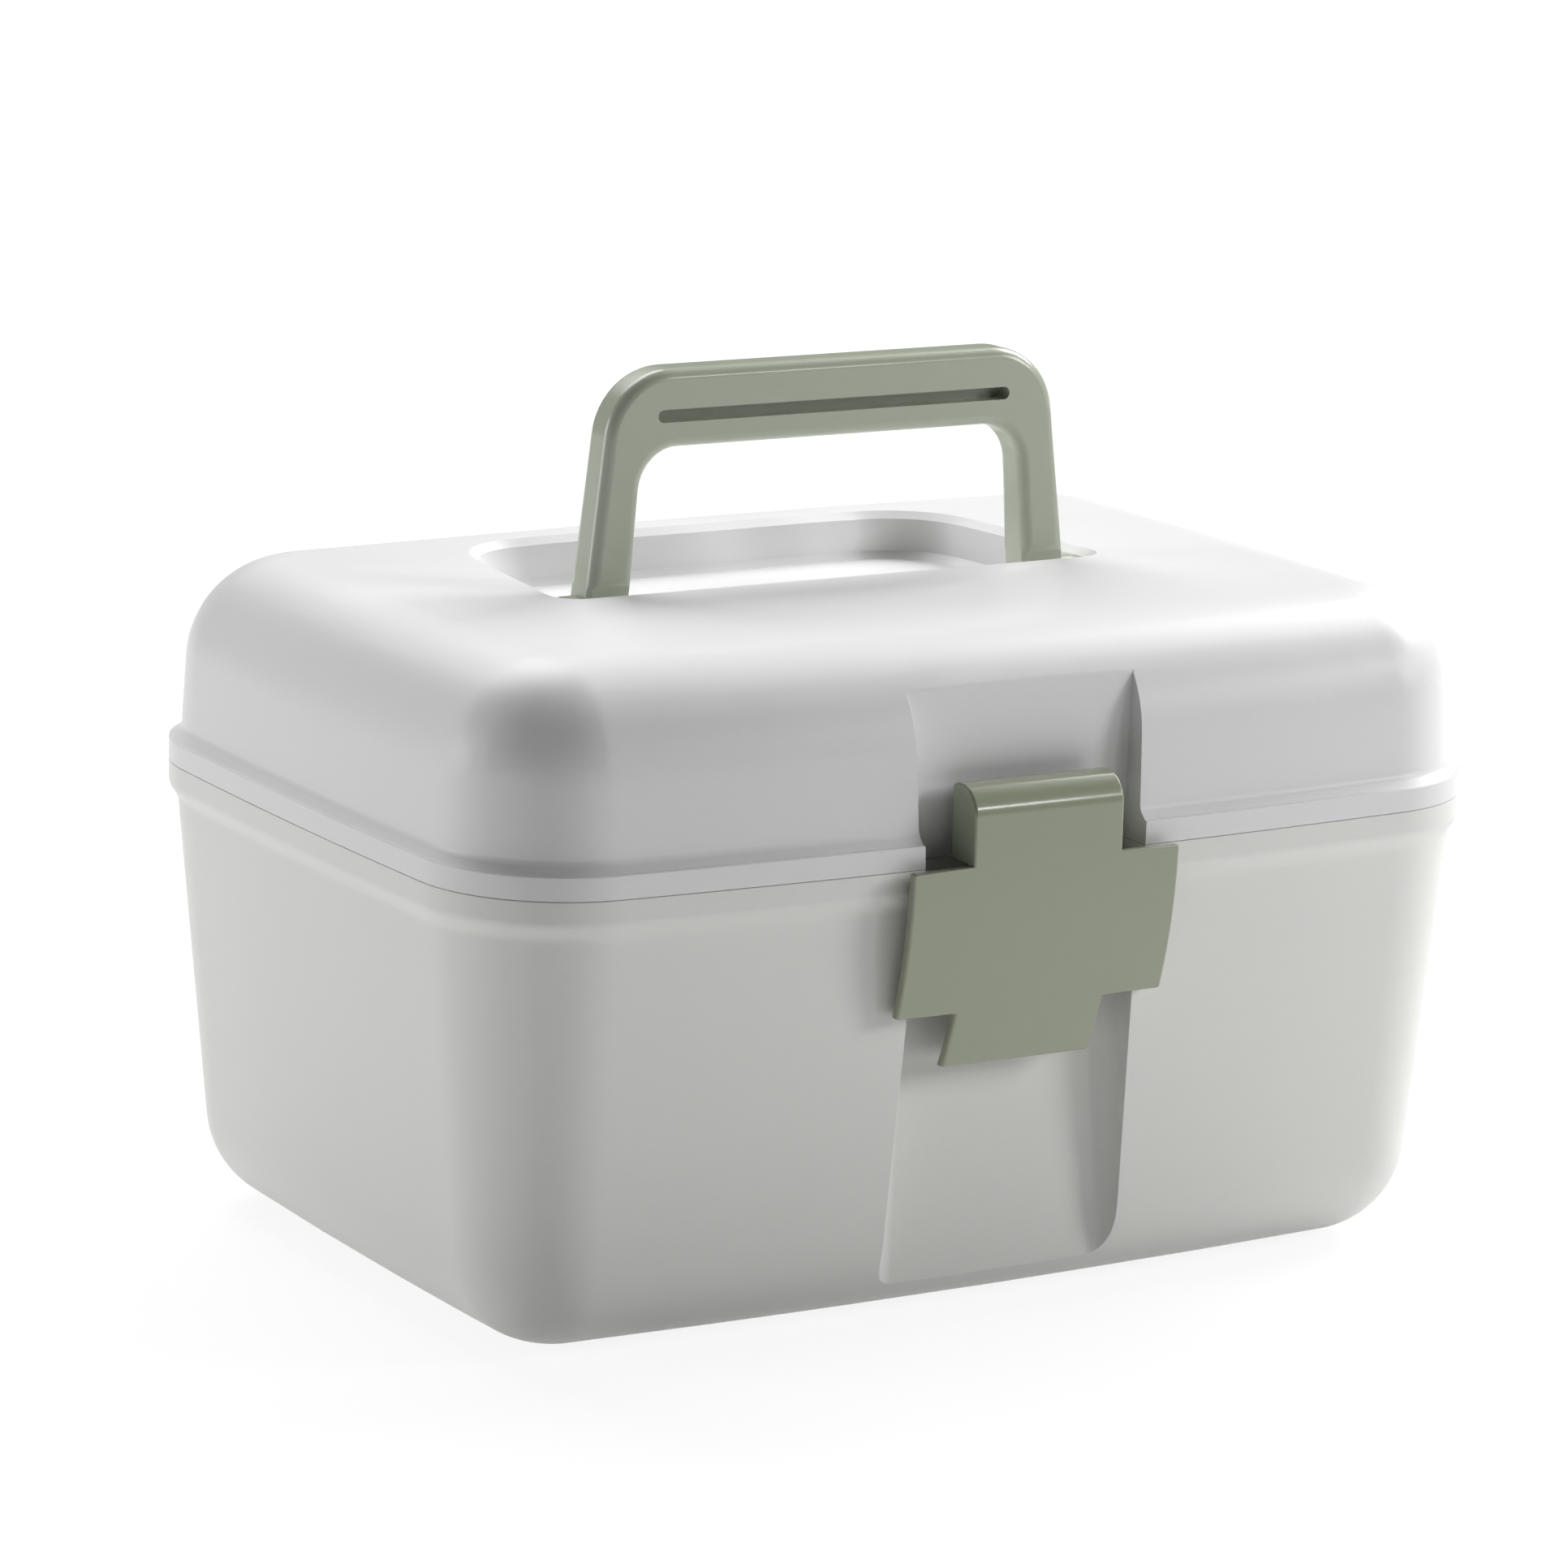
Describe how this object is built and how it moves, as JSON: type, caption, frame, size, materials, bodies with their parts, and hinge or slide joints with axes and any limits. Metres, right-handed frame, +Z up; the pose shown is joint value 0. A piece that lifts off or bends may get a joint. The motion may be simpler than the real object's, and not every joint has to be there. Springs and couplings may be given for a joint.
{
  "type": "medicine case",
  "caption": "Household medicine case with hinged domed lid, fold-down carrying handle, cross-shaped front latch and lift-out tray.",
  "frame": {"origin": "middle of the flat standing face of the base", "axes": "+X along the front from left to right, +Y from the latch side to the hinge side, +Z up"},
  "size_m": [0.255, 0.197, 0.1938],
  "materials": {
    "case_white": "satin",
    "sage_green": "satin",
    "tray_white": "matte",
    "pin_steel": "brushed"
  },
  "bodies": {
    "base": {"base_shell": "case_white", "hinge_pin_left": "pin_steel", "hinge_pin_right": "pin_steel"},
    "lid": {"lid_shell": "case_white"},
    "handle": {"handle": "sage_green"},
    "latch": {"latch": "sage_green", "latch_pin": "pin_steel"},
    "tray": {"inner_tray": "tray_white"}
  },
  "joints": [
    {"name": "lid_hinge", "type": "hinge", "parent": "base", "child": "lid", "pos_m": [0, 0.0964, 0.1013], "axis": [-1, 0, 0], "range_deg": [0, 105]},
    {"name": "handle_fold", "type": "hinge", "parent": "lid", "child": "handle", "pos_m": [0, -0.001, 0.1413], "axis": [-1, 0, 0], "range_deg": [0, 90]},
    {"name": "latch_swing", "type": "hinge", "parent": "lid", "child": "latch", "pos_m": [0, -0.0899, 0.112], "axis": [-1, 0, 0], "range_deg": [0, 85]},
    {"name": "tray_lift", "type": "slide", "parent": "base", "child": "tray", "axis": [0, 0, 1], "range_m": [0, 0.025]}
  ]
}
